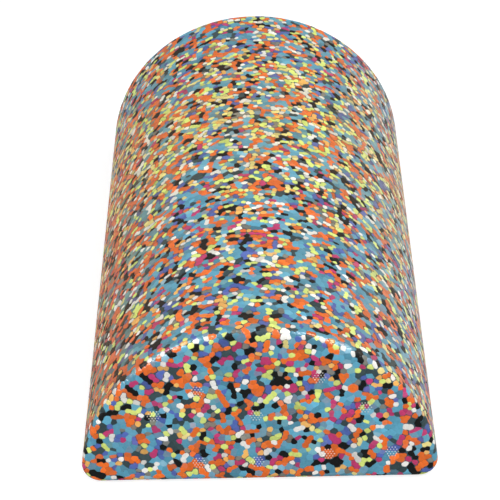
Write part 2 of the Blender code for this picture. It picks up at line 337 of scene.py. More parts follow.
SHARES, CROWN_GROWTHS, WARM_GROWTHS, LEFT_GROWTHS = np.array([row[:4] for row in MIX.values()]).T
TONES = np.array([row[4] for row in MIX.values()])
print("colours in the mix:", ", ".join(COLOURS))

# %% Where the mix is warm, and where the sides begin
END_SHARE = 0.985
NEAR_WARMTH = 0.20
FAR_WARMTH = 0.65
FAR_PLACE = 0.3
FAR_SPREAD = 0.46
PATCH_WARMTH = 0.25
PATCH_WAVES = ((9.0, 5.0), (-3.0, 11.0))
MOST_WARMTH = 1.5
SIDE_START = 0.7
SIDE_RISE = 1.6
LEFT_MIDDLE = 0.9
LEFT_FALL = 0.8
LEAST_LEFT = 0.25


def off_ends(points):
    """1 on the crown and its sides, 0 on the end faces."""
    return (np.abs(points[:, 1]) < END_SHARE * HALF_LENGTH).astype(float)


def warmth(points):
    """How warm the mix is at each point, which also sets the painted warm light cast: 0 on the end
    faces, most a little past the middle.
    """
    arc = np.arctan2(points[:, 0], points[:, 2] - CROWN_CENTRE)
    along = points[:, 1] / HALF_LENGTH
    back = FAR_WARMTH * np.exp(-((along - FAR_PLACE) / FAR_SPREAD) ** 2)
    first, second = (np.sin(around * arc + ahead * along) for around, ahead in PATCH_WAVES)
    patches = PATCH_WARMTH * first * second
    return np.clip(NEAR_WARMTH + back + patches, 0.0, MOST_WARMTH) * off_ends(points)


def down_side(points, side):
    """How far down one side each point lies: 0 on the crown and the end faces, 1 along the foot."""
    arc = side * np.arctan2(points[:, 0], points[:, 2] - CROWN_CENTRE)
    return np.clip(SIDE_RISE * arc - SIDE_START, 0.0, 1.0) * off_ends(points)


def left_mix_and_shade(points):
    """How strongly the left side takes its own mix and painted brown shade, fading towards the far
    end.
    """
    fading = LEFT_MIDDLE - LEFT_FALL * points[:, 1] / HALF_LENGTH
    return down_side(points, -1.0) * np.clip(fading, LEAST_LEFT, 1.0)


def drawn_colours(points):
    """A colour for each bead, drawn from the mix as it is at its place."""
    weights = SHARES * np.maximum(1.0 + WARM_GROWTHS * warmth(points)[:, None], 0.0)
    weights = weights * (1.0 + LEFT_GROWTHS * left_mix_and_shade(points)[:, None])
    weights = weights * (1.0 + CROWN_GROWTHS * off_ends(points)[:, None])
    ladder = np.cumsum(weights, axis=1)
    draw = chance.random(len(points)) * ladder[:, -1]
    return (draw[:, None] > ladder).sum(axis=1)


print("warmth of the top line, near to far:",
      [round(float(warmth(np.array([[0.0, share * HALF_LENGTH, HEIGHT]]))[0]), 2)
       for share in (-0.8, -0.4, 0.0, 0.4, 0.8)])

# %% [markdown]
# ## Beads that stand out
#
# Some beads are long or lie alone in a plain patch, and the eye goes to them first. The packed
# model holds the clearest ones as solids, so their place, turn and size are read from it. A long
# bead becomes a short chain of seeds with one colour, because foam beads that met end to end look
# like one. Three lists give more of them by their places on the near end, its edge and the crown.

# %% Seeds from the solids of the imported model
TOP_BAND = 0.12 * MM
X_WAY, Y_WAY, Z_WAY = np.eye(3)


def node_seed(name, node):
    """Colour, middle, long direction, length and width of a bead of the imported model."""
    corners = np.array([vertex.co for vertex in node.data.vertices])
    nearest, _outside = on_skin(corners)
    top = corners[np.linalg.norm(corners - nearest, axis=1) < TOP_BAND]
    middle, normal = on_skin(top.mean(axis=0)[None])
    spread = corners - corners.mean(axis=0)
    spread = spread - (spread @ normal[0])[:, None] * normal[0]
    _values, axes = np.linalg.eigh(spread.T @ spread)
    long_way, short_way = axes[:, 2], axes[:, 1]
    length = np.ptp(spread @ long_way)
    width = np.ptp(spread @ short_way)
    return name.split("_")[0], middle[0], long_way, length, width


def listed_seed(colour, point, long_way, length, width):
    """The same for a bead of a list, from a point just outside the skin and a size in mm."""
    middle, _outside = on_skin(point[None])
    return colour, middle[0], long_way, length * MM, width * MM


def end_seed(colour, across, up, length, width, degrees):
    """A bead of the near end face: its place in mm and its turn in degrees."""
    point = np.array([across * MM, -HALF_LENGTH - MM, up * MM])
    return listed_seed(colour, point, turned(X_WAY, Z_WAY, degrees), length, width)


def round_crown(angle):
    """The way out of the crown and the way round it, at an angle from the top line."""
    outward = np.array([math.sin(angle), 0.0, math.cos(angle)])
    return outward, np.array([math.cos(angle), 0.0, -math.sin(angle)])


def crown_seed(colour, arc, along, length, width, degrees):
    """A bead of the crown: arc length from the top line and place along, in mm, and its turn."""
    outward, round_way = round_crown(arc * MM / CROWN_RADIUS)
    point = outward * (CROWN_RADIUS + MM) + np.array([0.0, along * MM, CROWN_CENTRE])
    return listed_seed(colour, point, turned(round_way, Y_WAY, degrees), length, width)


def edge_seed(colour, round_degrees, over_degrees, length, width, degrees):
    """A bead of the near end edge: angle round the crown, angle over the edge, and its turn."""
    outward, round_way = round_crown(math.radians(round_degrees))
    start = outward * (CROWN_RADIUS - END_RADIUS) - Y_WAY * (HALF_LENGTH - END_RADIUS)
    way_out = turned(outward, -Y_WAY, over_degrees)
    point = Z_WAY * CROWN_CENTRE + start + way_out * 2 * END_RADIUS
    over_way = turned(-Y_WAY, -outward, over_degrees)
    return listed_seed(colour, point, turned(round_way, over_way, degrees), length, width)


bead_nodes = sorted(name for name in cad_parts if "_bead_" in name)
standouts = [node_seed(name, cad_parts[name]) for name in bead_nodes]
print(len(standouts), "beads read from the packed model")

# %% More beads that stand out on the near end, the crown and the edge between them
END_BEADS = (
    ("white", -38.5, 38.0, 3.4, 2.4, -35), ("black", -39.9, 34.7, 3.8, 3.0, 0),
    ("magenta", -28.2, 34.7, 3.0, 3.0, 0), ("lime", -32.0, 35.0, 3.6, 2.8, 90),
    ("white", -38.9, 60.7, 3.0, 3.0, 0), ("lime", -5.0, 61.5, 3.8, 2.6, 20),
    ("black", -69.0, 5.0, 8.0, 4.2, -25), ("black", -8.9, 21.5, 3.2, 3.2, 0),
    ("white", -44.0, 8.7, 5.0, 2.6, 70), ("white", -48.9, 6.7, 3.2, 3.2, 0),
    ("white", 57.3, 38.5, 3.0, 2.4, 90), ("orange", 39.3, 47.0, 5.6, 5.2, 0),
    ("lime", 47.0, 40.0, 4.0, 2.8, 50), ("white", 19.2, 45.0, 3.0, 2.8, 0),
    ("white", 12.2, 48.6, 3.0, 2.6, -60), ("orange", 8.0, 48.0, 5.0, 2.6, 0),
    ("lime", 4.8, 43.0, 8.0, 3.0, 50), ("orange", -15.0, 43.0, 10.5, 3.0, -64),
    ("lime", 9.0, 32.5, 6.0, 2.5, 5), ("white", 6.5, 7.0, 2.8, 2.8, 0),
    ("lime", 14.2, 64.0, 3.4, 2.8, 0), ("magenta", 13.2, 60.0, 4.0, 3.0, 0),
    ("lime", 13.4, 56.8, 5.0, 3.2, 0), ("white", 25.3, 55.5, 3.0, 2.4, 60),
    ("orange", 19.5, 55.0, 6.0, 3.2, 10), ("lime", 51.5, 50.0, 3.0, 2.8, 0),
    ("white", 41.0, 11.5, 6.5, 3.0, -60), ("lime", 15.0, 13.6, 6.0, 2.8, -8),
    ("black", 70.0, 15.0, 4.6, 2.6, 15), ("black", 42.3, 65.5, 3.4, 3.2, 0),
    ("drab", 35.5, 55.5, 3.2, 3.0, 0), ("violet", 50.0, 46.4, 3.6, 2.6, 0),
    ("orange", 20.5, 20.0, 7.5, 3.4, 60), ("orange", -27.0, 26.0, 6.0, 3.0, 60),
    ("magenta", 31.5, 21.5, 7.5, 4.5, -45), ("black", 29.0, 17.0, 3.8, 3.2, -40),
    ("lime", -32.0, 27.0, 5.0, 2.8, -60), ("orange", -3.0, 26.0, 6.5, 2.6, 8),
    ("white", 17.0, 27.0, 5.5, 2.8, 20), ("violet", 16.0, 10.5, 3.6, 3.0, 0),
    ("black", 10.0, 14.0, 4.2, 3.4, -30), ("white", -6.0, 19.0, 5.0, 2.8, -45),
)
CROWN_BEADS = (
    ("violet", 38.0, -75.0, 7.0, 5.0, 30), ("white", -22.0, -58.0, 5.0, 2.6, 80),
    ("black", 13.0, -56.0, 4.0, 3.0, 0), ("black", -11.0, -72.5, 4.2, 3.0, 10),
    ("white", 9.8, -106.0, 3.2, 2.8, 0), ("black", 3.5, -106.0, 4.6, 2.4, 0),
    ("white", -4.5, -105.0, 5.0, 2.8, 0), ("magenta", 30.0, -40.0, 3.6, 3.0, 0),
    ("black", 33.0, -92.0, 7.0, 2.6, -15), ("black", 44.0, 10.0, 6.5, 2.8, 15),
    ("orange", 5.0, -58.0, 8.0, 3.4, 10), ("orange", -34.0, -20.0, 7.5, 4.0, -25),
    ("orange", -8.0, 30.0, 7.0, 4.5, 30), ("black", -30.0, 60.0, 6.0, 2.8, 0),
    ("white", 20.0, 44.0, 5.0, 2.8, 10), ("black", 62.0, -60.0, 7.0, 3.0, 40),
)
EDGE_BEADS = (
    ("white", -36.0, 18.0, 3.2, 2.8, 0), ("orange", -32.8, 45.0, 3.4, 3.2, 30),
    ("magenta", -29.2, 14.0, 3.6, 2.8, -30), ("orange", -26.2, 46.0, 4.2, 3.0, 0),
    ("amber", -23.4, 20.0, 3.8, 2.6, 0), ("lime", -21.4, 62.0, 3.2, 3.0, 90),
    ("white", -19.4, 40.0, 3.4, 2.8, 20), ("violet", -16.6, 76.0, 3.6, 2.8, 0),
    ("orange", -14.2, 36.0, 4.4, 3.2, 10), ("violet", 13.2, 74.0, 3.6, 3.4, 90),
    ("white", 20.8, 38.0, 3.4, 2.8, 0), ("amber", 24.0, 22.0, 3.4, 2.8, 0),
    ("lime", 25.6, 58.0, 3.4, 3.2, 0), ("white", 28.2, 44.0, 3.0, 2.8, 0),
    ("white", 32.0, 50.0, 3.6, 2.8, 0), ("black", 35.0, 66.0, 3.4, 3.2, 0),
    ("black", 34.0, 5.0, 4.2, 3.0, 60), ("orange", 17.0, 8.0, 4.4, 3.0, 0),
)
for seed_of, rows in ((edge_seed, EDGE_BEADS), (end_seed, END_BEADS), (crown_seed, CROWN_BEADS)):
    standouts += [seed_of(*row) for row in rows]
print(len(standouts), "beads that stand out")

# %% [markdown]
# ## Seeds of all the beads
#
# Beads in a mould pack at an even distance, but in no pattern. So points are thrown at the skin at
# random, and each one that lands too near an earlier one is dropped. A regular grid would show
# rows, and free random points would give some cells ten times the size of others.

# %% Chains of seeds for the beads that stand out
CHAIN_STEP = 1.7 * MM


def chain(middle, long_way, length, width):
    """Places along a long bead, one for each bead's width that it holds."""
    count = 1 + int(round(max(length - width, 0.0) / CHAIN_STEP))
    places = np.linspace(-0.5, 0.5, count) if count > 1 else np.zeros(1)
    return on_skin(middle + places[:, None] * (length - width) * long_way)


seeds = []
for group, (colour, middle, long_way, length, width) in enumerate(standouts):
    points, normals = chain(middle, long_way, length, width)
    half_long = length / 2 if len(points) == 1 else width / 2
    for point, normal in zip(points, normals):
        seeds.append((point, normal, long_way, half_long, width / 2, COLOURS.index(colour), group))
print(len(seeds), "seeds hold the beads that stand out")

# %% Throw points at the skin and keep those that have room
BEAD_HALF = 1.18 * MM
THROWS = 4_400_000
SHELL = 0.5 * MM
ROOM = 1.88 * MM
SEED_ROOM_SHARE = 0.70
RING_SHARE = 0.88
RING_PLACES = 12


def thrown_points():
    """Random points spread evenly over the skin: those of a box that fall in a thin shell of it."""
    low = np.array(cad_box[0]) - SHELL
    high = np.array(cad_box[1]) + SHELL
    points = low + chance.random((THROWS, 3)) * (high - low)
    inner = inner_point(points)
    height = np.linalg.norm(points - inner, axis=1) - END_RADIUS
    return on_skin(points[np.abs(height) < SHELL])


def ring_points(taken):
    """Points just outside each taken seed, so that beads pack closely round it."""
    places = []
    for point, normal, way, _half_long, half_short, _colour, _group in taken:
        other_way = np.cross(normal, way)
        reach = RING_SHARE * (half_short + BEAD_HALF)
        for side in range(RING_PLACES):
            angle = 2 * math.pi * side / RING_PLACES
            places.append(point + reach * (math.cos(angle) * way + math.sin(angle) * other_way))
    return on_skin(np.array(places))


def with_room(points, taken):
    """Indexes of the points that keep their distance from the taken seeds and from each other."""
    free = np.ones(len(points), bool)
    for point, _normal, _way, half_long, half_short, _colour, _group in taken:
        room = SEED_ROOM_SHARE * ((half_long + half_short) / 2 + BEAD_HALF)
        free &= ((points - point) ** 2).sum(axis=1) > room ** 2
    keys = np.floor(points / ROOM).astype(int)
    kept = []
    cells = {}
    places = points.tolist()
    steps = [(x, y, z) for x in (-1, 0, 1) for y in (-1, 0, 1) for z in (-1, 0, 1)]
    limit = ROOM ** 2
    for index in np.flatnonzero(free).tolist():
        x, y, z = places[index]
        i, j, k = keys[index].tolist()
        near = (places[other] for a, b, c in steps
                for other in cells.get((i + a, j + b, k + c), ()))
        if all((x - p) ** 2 + (y - q) ** 2 + (z - r) ** 2 > limit for p, q, r in near):
            cells.setdefault((i, j, k), []).append(index)
            kept.append(index)
    return np.array(kept)


points, normals = (np.concatenate(pair) for pair in zip(ring_points(seeds), thrown_points()))
kept = with_room(points, seeds)
print(len(points), "points on the skin,", len(kept), "with room")

# %% One table of all seeds
SWELL = (0.82, 1.22)
STRETCH = (1.0, 1.45)
fixed = len(seeds)
count = fixed + len(kept)
first_points, first_normals, *first_rows = zip(*seeds)
middle = np.concatenate([np.array(first_points), points[kept]])
outside = np.concatenate([np.array(first_normals), normals[kept]])
long_way = chance.normal(size=(count, 3))
swell = chance.uniform(*SWELL, count)
stretch = chance.uniform(*STRETCH, count)
half_long = BEAD_HALF * swell * stretch
half_short = BEAD_HALF * swell / stretch
colour_of = drawn_colours(middle)
group_of = np.arange(count) + len(standouts)
for values, first_values in zip((long_way, half_long, half_short, colour_of, group_of), first_rows):
    values[:fixed] = first_values


def flatten(vectors, normals):
    """Directions laid into the skin."""
    return unit(vectors - normals * (vectors * normals).sum(-1, keepdims=True))


long_way = flatten(long_way, outside)
print(count, "beads in all")

# %% [markdown]
# ## Cells
#
# Two beads share the space between them at a flat weld, so a bead seen on the skin is a cell with
# about six sides. For each bead, the distance to its edge is measured in fourteen directions: in
# each, the nearest weld counts. Taking the lowest distance would give sharp corners; a soft
# minimum rounds them a little, as steam does. Neighbours overlap by a hair, so the weld line is a
# shallow groove where two shoulders cross, with no slit in it.
#
# In the photograph the bright beads are pills with rounded ends, and teal runs in between them. So
# the teal beads lie a hair lower and reach in under their neighbours, and the others keep an oval
# outline.

# %% Neighbours of every bead
NEIGHBOURS = 16
FLAT_BEND = 1e-4


def neighbours_of(points):
    """Indexes of the nearest other beads of each bead."""
    tree = KDTree(len(points))
    for index, point in enumerate(points):
        tree.insert(point, index)
    tree.balance()
    found = np.empty((len(points), NEIGHBOURS), int)
    for index, point in enumerate(points):
        near = tree.find_n(point, NEIGHBOURS + 1)
        others = [other for _place, other, _distance in near if other != index]
        found[index] = others[:NEIGHBOURS]
    return tree, found


def half_size(indexes, directions):
    """Half the size that a bead wants in a direction."""
    along = (directions * long_way[indexes]).sum(-1) ** 2
    return np.sqrt(half_long[indexes] ** 2 * along + half_short[indexes] ** 2 * (1.0 - along))


def welds(found):
    """Direction and distance of the weld to each neighbour, and the full distance."""
    own = np.arange(count)[:, None].repeat(NEIGHBOURS, axis=1)
    between = middle[found] - middle[:, None]
    chord = np.linalg.norm(between, axis=-1)
    facing = np.clip((outside[found] * outside[:, None]).sum(-1), -1.0, 1.0)
    bend = np.arccos(facing) / 2
    distance = chord * bend / np.maximum(np.sin(bend), TINY)
    distance = np.where(bend < FLAT_BEND, chord, distance)
    direction = flatten(between, outside[:, None])
    mine = half_size(own, direction)
    other = half_size(found, direction)
    return direction, distance * mine / (mine + other), distance


tree, found = neighbours_of(middle)
print("mean distance to the six nearest beads, mm:",
      round(float(np.sort(welds(found)[2], axis=1)[:, :6].mean()) / MM, 2))

# %% Pair some beads, and give each group one shade and one depth
PAIR_SHARE = 0.42
PALE_PAIR_SHARE = 0.35 * PAIR_SHARE
PAIR_REACH = 3
CLEAR_REACH = 8
FILLER_SHADE = 1.5
FILLER_SINK = 0.03 * MM
SINK_SPREAD = 0.015 * MM
TEAL = COLOURS.index("teal")
PALE = [COLOURS.index(name) for name in ("white", "lime", "yellow", "amber", "drab")]
DARK_NAMES = ("black", "slate")
DARK = [COLOURS.index(name) for name in DARK_NAMES]


def pair_beads(found):
    """Let some beads take a near neighbour into their group; pale ones seldom do."""
    single = np.ones(count, bool)
    single[:fixed] = False
    odds = np.where(np.isin(colour_of, PALE), PALE_PAIR_SHARE, PAIR_SHARE)
    willing = np.flatnonzero(chance.random(count) < odds)
    for index in chance.permutation(willing).tolist():
        partner = int(found[index, chance.integers(0, PAIR_REACH)])
        if single[index] and single[partner]:
            single[index] = False
            single[partner] = False
            group_of[partner] = group_of[index]
            colour_of[partner] = colour_of[index]


def clear_round_standouts(found):
    """Make the beads next to one that stands out teal where they would blur into it."""
    for index in range(fixed):
        own = colour_of[index]
        for other in found[index, :CLEAR_REACH].tolist():
            alike = colour_of[other] == own or (own in DARK and colour_of[other] in DARK)
            if other >= fixed and alike:
                colour_of[other] = TEAL


pair_beads(found)
clear_round_standouts(found)
_names, group_number = np.unique(group_of, return_inverse=True)
shade_of = chance.normal(0.0, 1.0, group_number.max() + 1)[group_number]
fills = colour_of == TEAL
shade_of = shade_of * np.where(fills, FILLER_SHADE, 1.0)
sinks = chance.uniform(0.0, SINK_SPREAD, group_number.max() + 1)
sink_of = sinks[group_number] + FILLER_SINK * fills
sink_of[:fixed] = 0.0
print(count - len(np.unique(group_number)), "beads joined to a neighbour")

# %% Distance to the edge in every direction
SIDES = 14
ROUNDNESS = 26.0
WELD_OVERLAP = 0.03 * MM
PARTNER_OVERLAP = 1.22
LIKE_OVERLAP = 1.10
UNDER_OVERLAP = 1.25
PILL_REACH = 1.10
PILL_ROUNDNESS = 8.0
LEAST_SHARE = 0.88
LEAST_STANDOUT_SHARE = 0.72
SETTLE_SHARE = 0.6


def overlaps(found):
    """How far each bead reaches past each weld: most where it runs in under a bead on top."""
    own = np.arange(count)[:, None]
    partner = group_of[found] == group_of[:, None]
    alike = colour_of[found] == colour_of[:, None]
    under = (fills[:, None] & ~fills[found]) | ((own >= fixed) & (found < fixed))
    reach = np.where(alike, LIKE_OVERLAP, 1.0)
    reach = np.where(under, UNDER_OVERLAP, reach)
    return np.where(partner, PARTNER_OVERLAP, reach)


def rounded_edge(edge, rays, behind):
    """The edge held in by the bead's own oval, unless it is a filler or meets a bead like it."""
    own = np.arange(count)[:, None].repeat(SIDES, axis=1)
    oval = PILL_REACH * half_size(own, rays)
    held = (edge ** -PILL_ROUNDNESS + oval ** -PILL_ROUNDNESS) ** (-1.0 / PILL_ROUNDNESS)
    least = np.where(own < fixed, LEAST_STANDOUT_SHARE, LEAST_SHARE)
    free = (fills[:, None] & (own >= fixed)) | (colour_of[behind] == colour_of[:, None])
    return np.where(free, edge, np.maximum(held, least * edge))


def edge_distances(found):
    """Directions round each bead, how far its edge lies in each, and which bead lies behind it."""
    direction, weld, _distance = welds(found)
    weld = weld * overlaps(found) + WELD_OVERLAP
    other_way = np.cross(outside, long_way)[:, None]
    start = chance.uniform(0.0, 2 * math.pi, count)
    angle = start[:, None] + np.arange(SIDES) * 2 * math.pi / SIDES
    rays = np.cos(angle)[..., None] * long_way[:, None] + np.sin(angle)[..., None] * other_way
    facing = np.einsum("nsk,nmk->nsm", rays, direction)
    pull = (np.maximum(facing, 0.0) / weld[:, None]) ** ROUNDNESS
    behind = np.take_along_axis(found, pull.argmax(axis=-1), axis=1)
    return rays, rounded_edge(pull.sum(axis=-1) ** (-1.0 / ROUNDNESS), rays, behind), behind


def settle(found):
    """Move each free bead towards the middle of its cell, which evens out the mosaic."""
    rays, edge, _behind = edge_distances(found)
    pull = (rays * (edge ** 3)[..., None]).sum(axis=1) / (edge ** 2).sum(axis=1)[:, None]
    moved, moved_out = on_skin(middle + SETTLE_SHARE * pull)
    free = np.arange(count) >= fixed
    middle[free] = moved[free]
    outside[free] = moved_out[free]


settle(found)
long_way = flatten(long_way, outside)
tree, found = neighbours_of(middle)
rays, edge, behind = edge_distances(found)
print("mean bead radius, mm:", round(float(edge.mean()) / MM, 3))

# %% [markdown]
# ## Vent marks
#
# Steam enters the mould through small round vents, each a plug with small holes. On the block each
# leaves a shallow dish with a cluster of nubs, and both end faces carry nine. The dish is pressed
# into whatever beads lie there, so it is made by lowering their corners. The nubs are small domes
# of the same foam, drawn paler than the bead they stand on.

# %% Places of the vents
VENT_PLACE_SHARES = (
    (-0.423, 0.610), (0.462, 0.689), (-0.647, 0.453), (-0.015, 0.446), (0.668, 0.486),
    (-0.338, 0.131), (-0.013, 0.131), (0.387, 0.177), (0.748, 0.184),
)
VENT_RADIUS = 3.7 * MM
VENT_DEPTH = 0.3 * MM
VENT_SLOPE = 0.5 * MM


def vent_middles():
    """Middles of all vent marks: shares of the height, and of half the width at that height."""
    middles = []
    for end in (-1.0, 1.0):
        for across_share, up_share in VENT_PLACE_SHARES:
            up = up_share * HEIGHT
            half_width = math.sqrt(CROWN_RADIUS ** 2 - (up - CROWN_CENTRE) ** 2)
            across = across_share * half_width * -end
            middles.append((across, end * HALF_LENGTH, up))
    return np.array(middles)


vents = vent_middles()


def dish_depth(points):
    """How far the skin is pressed in at each point by the vent nearest to it."""
    shape = points.shape[:-1]
    flat = points.reshape(-1, 3)
    depth = np.zeros(len(flat))
    for vent in vents:
        distance = np.linalg.norm(flat - vent, axis=1)
        ramp = np.clip((VENT_RADIUS - distance) / VENT_SLOPE, 0.0, 1.0)
        depth = np.maximum(depth, VENT_DEPTH * ramp)
    return depth.reshape(shape)


print(len(vents), "vent marks")

# %% [markdown]
# ## Bead solids
#
# Each bead is one closed solid: a nearly flat top that the mould pressed, a rounded shoulder down
# to the weld line, and a belly that narrows to a point inside the block. Rings of points are
# walked out over the skin from the middle, so a bead on a rounded edge bends round it. All beads
# are worked out at once with arrays; a loop over 20,000 beads with one mesh operator each would
# take minutes.

# %% Rings of one bead, for all beads at once
RINGS = ((0.55, -0.004), (0.86, -0.016), (1.0, -0.060))
EDGE_BULGE = 2.4
EDGE_SLOPES = (0.08, 0.99)
BELLY_DEPTH = 1.5 * MM
slope = np.abs(outside[:, 1])
on_edge = (slope > EDGE_SLOPES[0]) & (slope < EDGE_SLOPES[1])
bulge = np.where(on_edge, EDGE_BULGE, 1.0)


def ring(share, depth):
    """One ring of points of every bead: a share of the way to the edge, and a depth in mm."""
    points, points_out = walk(middle[:, None], rays, edge * share)
    sunk = (depth * MM * bulge - sink_of)[:, None] - dish_depth(points)
    return points + points_out * sunk[..., None]


rings = [ring(share, depth) for share, depth in RINGS]
crest = middle - outside * (sink_of + dish_depth(middle))[:, None]
belly = middle - outside * BELLY_DEPTH
bead_corners = np.concatenate([crest[:, None], *rings, belly[:, None]], axis=1)
bead_corners[..., 0] = np.clip(bead_corners[..., 0], cad_box[0].x, cad_box[1].x)
print("corners of one bead:", bead_corners.shape[1])


# %% Faces that join the rings of one bead
def bead_faces():
    """Triangles round the crest, bands between the rings, triangles down to the belly."""
    faces = []
    last = 1 + SIDES * len(RINGS)
    for side in range(SIDES):
        following = (side + 1) % SIDES
        faces.append((0, 1 + side, 1 + following))
        for band in range(len(RINGS) - 1):
            upper = 1 + band * SIDES
            lower = upper + SIDES
            faces.append((upper + side, lower + side, lower + following, upper + following))
        rim = 1 + SIDES * (len(RINGS) - 1)
        faces.append((rim + side, last, rim + following))
    return faces


BEAD_FACES = bead_faces()
# Painted shade towards the weld line: full on the outer ring, weaker where the bead behind has the
# same colour.
LIKE_RIM_SHADE = 0.3
rim_shade_share = np.zeros((count, bead_corners.shape[1]))
rim_shade_share[:, 1 + 2 * SIDES:] = 1.0
rim_shade_share[:, 1 + 2 * SIDES:-1] = np.where(colour_of[behind] == colour_of[:, None], LIKE_RIM_SHADE, 1.0)
print(len(BEAD_FACES), "faces to a bead")

# %% Trace of another colour in every bead, and the painted light of its place
SEEN_REACH = 6
TRACE_SPREAD = 0.035
MOST_TRACE = 0.35
LEAST_TINT = 1e-6
FILLER_TRACE = 2.6
SHOULDER_TRACE = 0.03
RIM_TRACE = 0.30
DARK_TRACE = 0.04
# Painted light in the bead colours: a warm light cast where the mix is warm, brown painted shade
# down the left side, and a painted sheen that greys and pales the right side.
WARM_LIGHT_TRACE = 0.07
LEFT_SHADE_TRACE = 0.11
WARM_LIGHT_AND_SHADE_TONE = (0.80, 0.40, 0.14)
DARK_WARMTH = 0.5
WARM_LIGHT_TINT = (1.0, 0.97, 0.60)
WARM_LIGHT_SHARE = 0.34
LEFT_SHADE_TINT = (0.78, 0.58, 0.26)
LEFT_SHADE_SHARE = 0.80
PALE_SHARE = 0.15
RIGHT_SHEEN_FADE = 0.24
RIGHT_SHEEN_TRACE = 0.08
GREY_SHARES = (0.2126, 0.7152, 0.0722)
SHEEN_FADE_TINT = (1.08, 1.00, 0.86)
SHEEN_TONE = (0.58, 0.50, 0.40)


def traces():
    """For each corner of each bead, the colour that shows in it and how strongly.

    Painted light tints them too: a warm light cast yellows beads where the mix is warm, painted
    shade browns them down the left side and a painted sheen fades them down the right side.
    """
    size = bead_corners.shape[1]
    tone = np.empty((count, size, 3))
    share = np.empty((count, size))
    seen = colour_of[found[np.arange(count), chance.integers(0, SEEN_REACH, count)]]
    tone[:] = TONES[seen][:, None]
    share[:] = np.minimum(np.abs(chance.normal(0.0, TRACE_SPREAD, count)), MOST_TRACE)[:, None]
    shoulder = slice(1 + SIDES, 1 + 2 * SIDES)
    rim = slice(1 + 2 * SIDES, 1 + 3 * SIDES)
    share[:, shoulder] += SHOULDER_TRACE
    share[:, rim] = RIM_TRACE
    tone[:, rim] = TONES[colour_of[behind]]
    share[fills, :1 + SIDES] *= FILLER_TRACE
    dark = np.isin(colour_of, DARK)
    share[dark] *= DARK_TRACE
    share[:fixed, :1 + SIDES] = 0.0
    warm = warmth(middle)[:, None]
    left = (left_mix_and_shade(middle) * np.where(np.isin(colour_of, PALE), PALE_SHARE, 1.0))[:, None]
    right = down_side(middle, 1.0)[:, None]
    taken_up = np.where(dark, DARK_WARMTH, 1.0)[:, None]
    own = TONES[colour_of]
    grey = (own @ np.array(GREY_SHARES))[:, None]
    # Painted light: a warm light cast, brown shade on the left and a pale grey sheen on the right.
    layers = (
        ((WARM_LIGHT_TRACE * warm + LEFT_SHADE_TRACE * left) * taken_up, np.array(WARM_LIGHT_AND_SHADE_TONE)),
        (WARM_LIGHT_SHARE * warm, own * WARM_LIGHT_TINT),
        (LEFT_SHADE_SHARE * left, own * LEFT_SHADE_TINT),
        (RIGHT_SHEEN_FADE * right, grey * SHEEN_FADE_TINT),
        (RIGHT_SHEEN_TRACE * right, np.array(SHEEN_TONE)),
    )
    extra = np.maximum(sum(strength for strength, _tint in layers), LEAST_TINT)
    extra_tone = sum(strength * tint for strength, tint in layers)
    tone = (tone * share[..., None] + extra_tone[:, None]) / (share + extra)[..., None]
    return tone, share + extra


trace_tone, trace_share = traces()
print("mean share of trace and tint:", round(float(trace_share[:, 0].mean()), 3))

# %% Nubs of the vent marks
NUB_RADIUS = 0.34 * MM
NUB_PITCH = 1.3 * MM
NUB_ROWS = 2
NUB_SIDES = 10
NUB_RINGS = ((1.0, -0.34), (0.92, -0.08), (0.55, -0.01))


def nub_places():
    """Middles of all nubs on the skin, on a triangular grid about each vent."""
    places = []
    for vent in vents:
        for row in range(-NUB_ROWS, NUB_ROWS + 1):
            for column in range(-NUB_ROWS, NUB_ROWS + 1):
                if abs(row + column) <= NUB_ROWS:
                    across = NUB_PITCH * (column + row / 2)
                    up = NUB_PITCH * row * math.sqrt(3.0) / 2
                    places.append(vent + np.array([across, 0.0, up]))
    return np.array(places)


def nub_corners(place):
    """Rings of one nub and its tip, standing out of an end face."""
    out = math.copysign(1.0, place[1])
    corners = []
    for share, depth in NUB_RINGS:
        for side in range(NUB_SIDES):
            angle = out * -2 * math.pi * side / NUB_SIDES
            corners.append(place + np.array([NUB_RADIUS * share * math.cos(angle), out * depth * MM,
                                             NUB_RADIUS * share * math.sin(angle)]))
    corners.append(place)
    return corners


def nub_faces():
    """Base, bands and tip of a nub."""
    faces = [tuple(range(NUB_SIDES))]
    for band in range(len(NUB_RINGS) - 1):
        for side in range(NUB_SIDES):
            following = (side + 1) % NUB_SIDES
            low, high = band * NUB_SIDES, (band + 1) * NUB_SIDES
            faces.append((low + following, low + side, high + side, high + following))
    high = (len(NUB_RINGS) - 1) * NUB_SIDES
    for side in range(NUB_SIDES):
        following = (side + 1) % NUB_SIDES
        faces.append((high + following, high + side, high + NUB_SIDES))
    return faces


nubs = nub_places()
nub_bead = np.array([tree.find(place)[1] for place in nubs])
NUB_FACES = nub_faces()
print(len(nubs), "nubs")

# %% [markdown]
# ## Foam finish
#
# Moulded foam has a thin satin skin over matt foam, made here as a weak coat over a rough base.
# Four things vary: each bead has a shade of its own, it leans towards the painted light of its
# place and the colour of a neighbour that shows through its edge, the foam is faintly marbled by
# its tiny cells, and a painted shade deepens the colour towards the weld line. Shade, trace and rim
# shade are stored on the mesh, so they cost no texture, and the marbling and the pebbled grain are
# noise in the block's own space. One function makes all the finishes, because only the colour and
# the strength of the coat differ.

